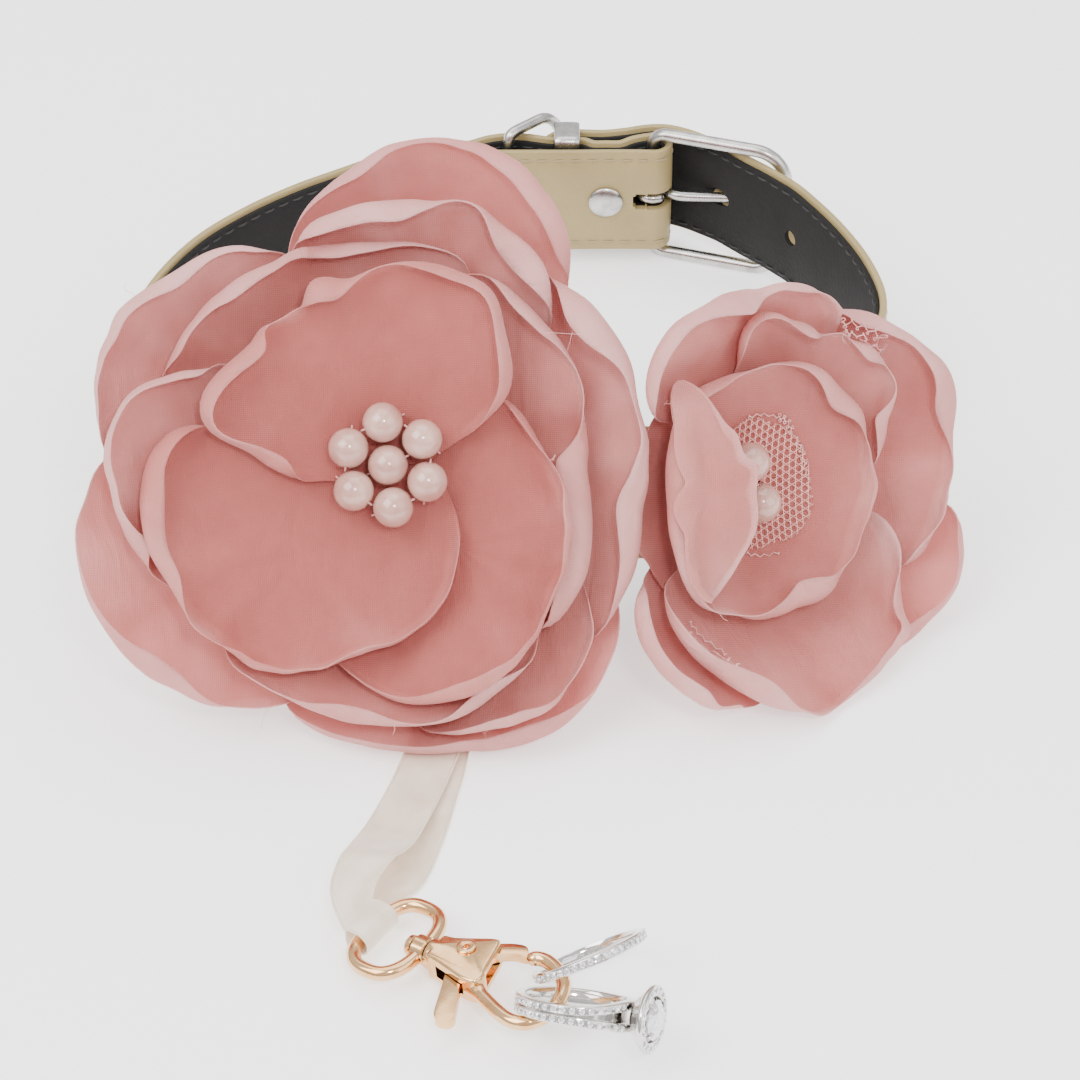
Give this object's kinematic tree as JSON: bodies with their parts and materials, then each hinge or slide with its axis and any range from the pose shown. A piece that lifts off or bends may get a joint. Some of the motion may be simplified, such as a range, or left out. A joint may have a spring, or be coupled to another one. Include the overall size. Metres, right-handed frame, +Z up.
{
  "type": "ring bearer dog collar",
  "caption": "Buckled dog collar with two pink cloth flowers, pearls and a satin ribbon that holds a swivel snap hook with finger rings.",
  "frame": {"origin": "middle of the bounding box in plan, at the level of the surface the collar lies on", "axes": "+Z up; the flowers and the ribbon face -Y, the buckle is at +Y; +X to the right seen from the flowers' side"},
  "size_m": [0.1632, 0.2512, 0.0906],
  "materials": {
    "champagne_leather": "satin leather-look with turned, stitched edges",
    "black_lining": "matt",
    "silver_metal": "satin",
    "pink_chiffon": "fine weave, satin sheen",
    "pink_felt": "matt felt",
    "pearl": "pearly coat",
    "pink_net": "net",
    "cream_satin": "satin",
    "gold_metal": "polished, rose-gold plated",
    "white_gold": "polished",
    "clear_stone": "polished"
  },
  "bodies": {
    "collar": {"strap_shell": "champagne_leather", "strap_lining": "black_lining", "rivet_cap_buckle": "silver_metal", "rivet_stud_buckle": "silver_metal", "rivet_cap_ring": "silver_metal", "rivet_stud_ring": "silver_metal", "large_petal_inner_top": "pink_chiffon", "large_petal_inner_left": "pink_chiffon", "large_petal_inner_right": "pink_chiffon", "large_petal_second_left": "pink_chiffon", "large_petal_second_lower": "pink_chiffon", "large_petal_right_inner": "pink_chiffon", "large_petal_third_top_left": "pink_chiffon", "large_petal_second_top": "pink_chiffon", "large_petal_lower_right": "pink_chiffon", "large_petal_right_outer": "pink_chiffon", "large_petal_outer_top_left": "pink_chiffon", "large_petal_outer_lower_left": "pink_chiffon", "large_petal_back_top": "pink_chiffon", "large_petal_outer_bottom": "pink_chiffon", "small_petal_centre": "pink_chiffon", "small_petal_folded_left": "pink_chiffon", "small_petal_upper_right": "pink_chiffon", "small_petal_top": "pink_chiffon", "small_petal_bottom": "pink_chiffon", "small_petal_lower_left": "pink_chiffon", "small_petal_outer_right": "pink_chiffon", "small_petal_outer_lower_right": "pink_chiffon", "small_petal_outer_lower_left": "pink_chiffon", "small_net_circle": "pink_net", "large_felt_back": "pink_felt", "small_felt_back": "pink_felt", "large_pearl_middle": "pearl", "large_pearl_1": "pearl", "large_pearl_2": "pearl", "large_pearl_3": "pearl", "large_pearl_4": "pearl", "large_pearl_5": "pearl", "large_pearl_6": "pearl", "small_pearl_1": "pearl", "small_pearl_2": "pearl", "small_pearl_3": "pearl", "ribbon_loop": "cream_satin"},
    "keeper": {"keeper_loop": "silver_metal"},
    "buckle": {"buckle_frame": "silver_metal"},
    "prong": {"buckle_prong": "silver_metal"},
    "d_ring": {"d_ring": "silver_metal"},
    "eye": {"swivel_eye": "gold_metal"},
    "hook": {"snap_hook_body": "gold_metal", "swivel_post": "gold_metal", "gate_pin": "gold_metal", "gate_spring": "silver_metal"},
    "gate": {"hook_gate": "gold_metal"},
    "wedding_ring": {"wedding_band": "white_gold"},
    "engagement_ring": {"engagement_shank": "white_gold", "halo_setting": "white_gold", "centre_stone": "clear_stone"}
  },
  "joints": [
    {"name": "keeper_slide", "type": "slide", "parent": "collar", "child": "keeper", "axis": [1, 0, 0], "range_m": [-0.0006, 0.0006]},
    {"name": "buckle_hinge", "type": "hinge", "parent": "collar", "child": "buckle", "pos_m": [0.0302, 0.1132, 0.0166], "axis": [0, 0, 1], "range_deg": [-0.6, 1.5]},
    {"name": "prong_hinge", "type": "hinge", "parent": "buckle", "child": "prong", "pos_m": [0.0302, 0.1132, 0.0166], "axis": [0, 0, 1], "range_deg": [-0.6, 1.5]},
    {"name": "d_ring_hinge", "type": "hinge", "parent": "collar", "child": "d_ring", "pos_m": [-0.0012, 0.113, 0.0166], "axis": [0, 0, 1], "range_deg": [-0.5, 110]},
    {"name": "ribbon_hinge", "type": "hinge", "parent": "collar", "child": "eye", "pos_m": [-0.02319, -0.09255, 0.00313], "axis": [0.5678, 0.8231, 0], "range_deg": [-70, 15]},
    {"name": "hook_swivel", "type": "hinge", "parent": "eye", "child": "hook", "pos_m": [-0.01266, -0.09982, 0.00461], "axis": [0.8177, -0.5641, 0.1149], "continuous": true},
    {"name": "gate_hinge", "type": "hinge", "parent": "hook", "child": "gate", "pos_m": [-0.00637, -0.10173, 0.00533], "axis": [-0.0946, 0.0653, 0.9934], "range_deg": [-24, 0], "stiffness_Nm_per_rad": 0.01, "springref_deg": 17.19},
    {"name": "engagement_ring_hang", "type": "hinge", "parent": "hook", "child": "engagement_ring", "pos_m": [0.00268, -0.11783, 0.00725], "axis": [0.9787, -0.1765, 0.1048], "range_deg": [-38, 2]},
    {"name": "wedding_ring_hang", "type": "hinge", "parent": "hook", "child": "wedding_ring", "pos_m": [0.00813, -0.10493, 0.00693], "axis": [-0.566, 0.8173, -0.1076], "range_deg": [-8, 38]}
  ]
}
